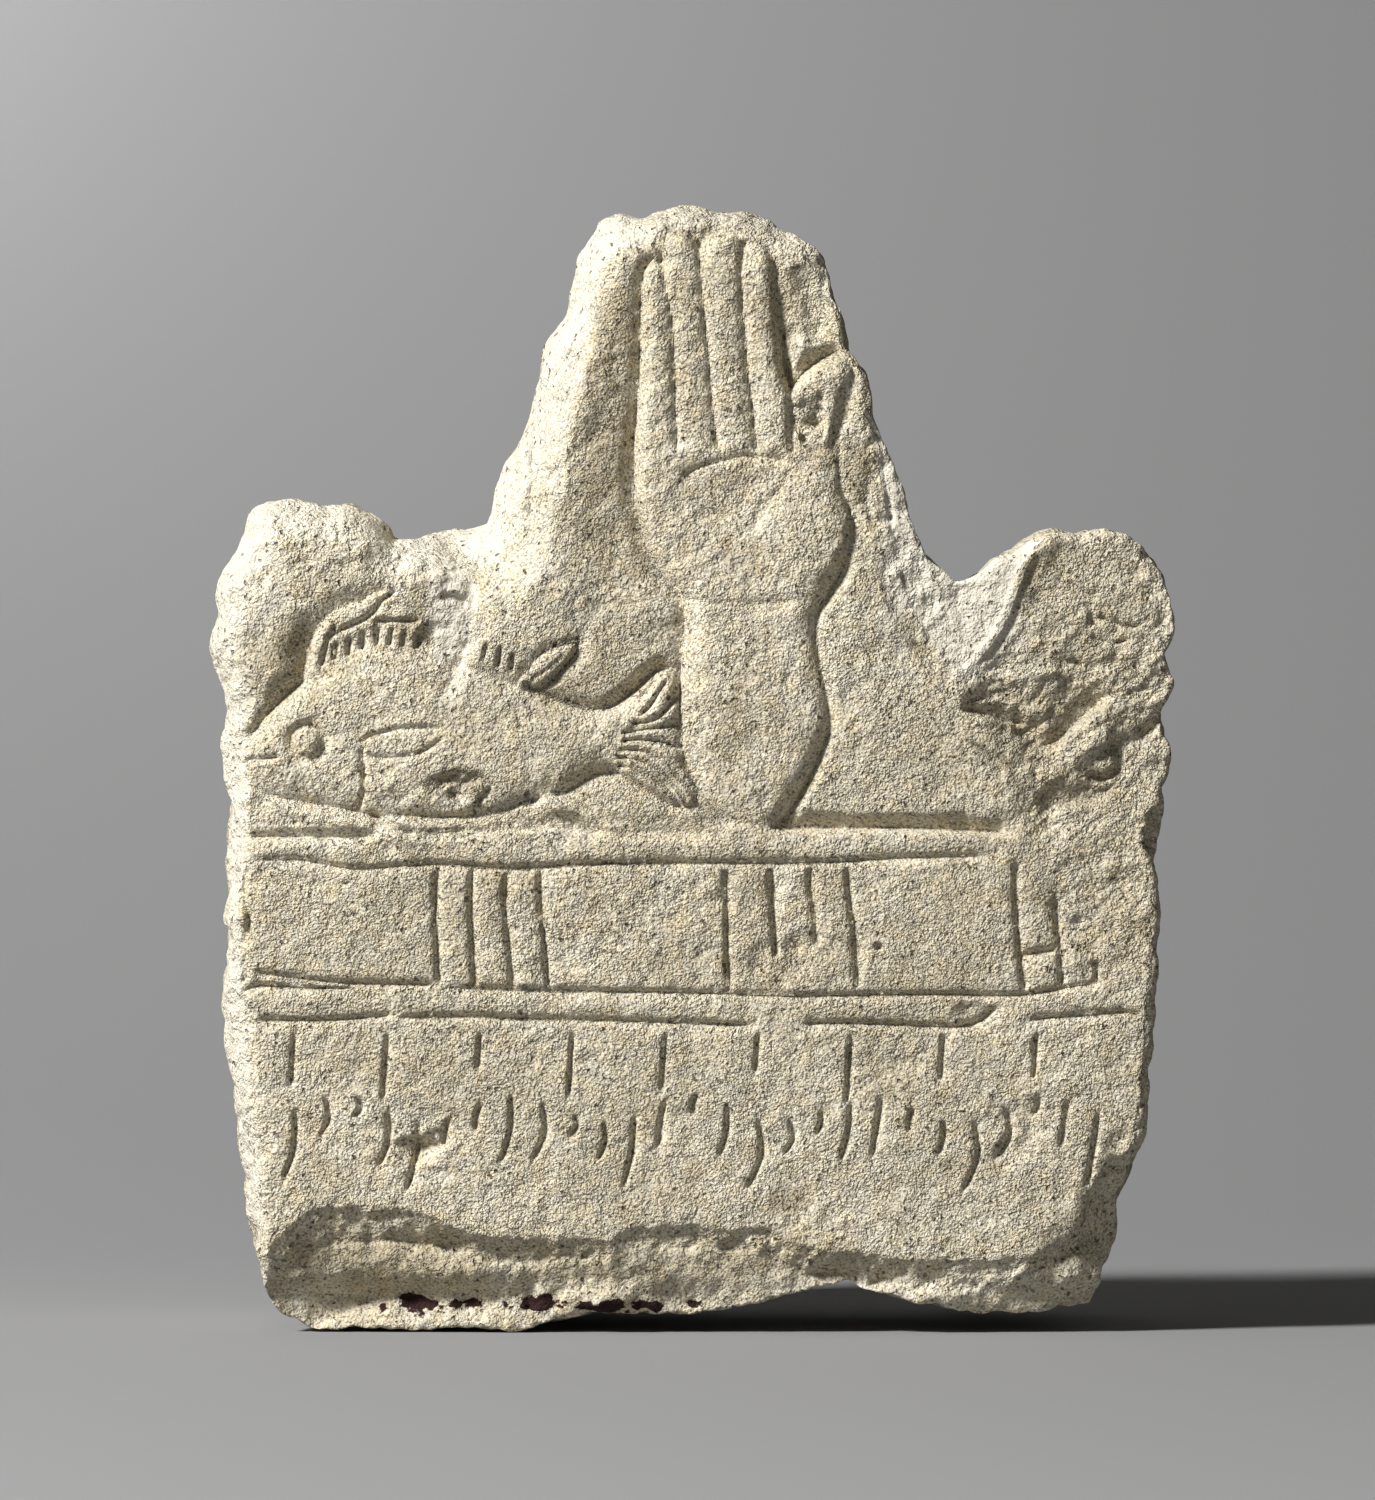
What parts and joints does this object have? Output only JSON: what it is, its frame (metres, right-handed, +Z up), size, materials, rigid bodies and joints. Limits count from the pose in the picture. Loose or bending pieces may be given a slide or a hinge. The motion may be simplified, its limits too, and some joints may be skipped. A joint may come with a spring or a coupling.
{
  "type": "carved stone stele",
  "caption": "Broken upper part of a carved limestone votive stele: gable with a raised hand and a fish above a frieze of panels, rough broken underside.",
  "frame": {"origin": "centre of the bounding box in X and Y, at the level of the underside the stone stands on", "axes": "+X to the right seen from the carved face, +Z up, the carved face looks along -Y"},
  "size_m": [0.16, 0.073, 0.1859],
  "materials": {
    "limestone": "matte"
  },
  "bodies": {
    "root": {"stele": "limestone"}
  },
  "joints": []
}
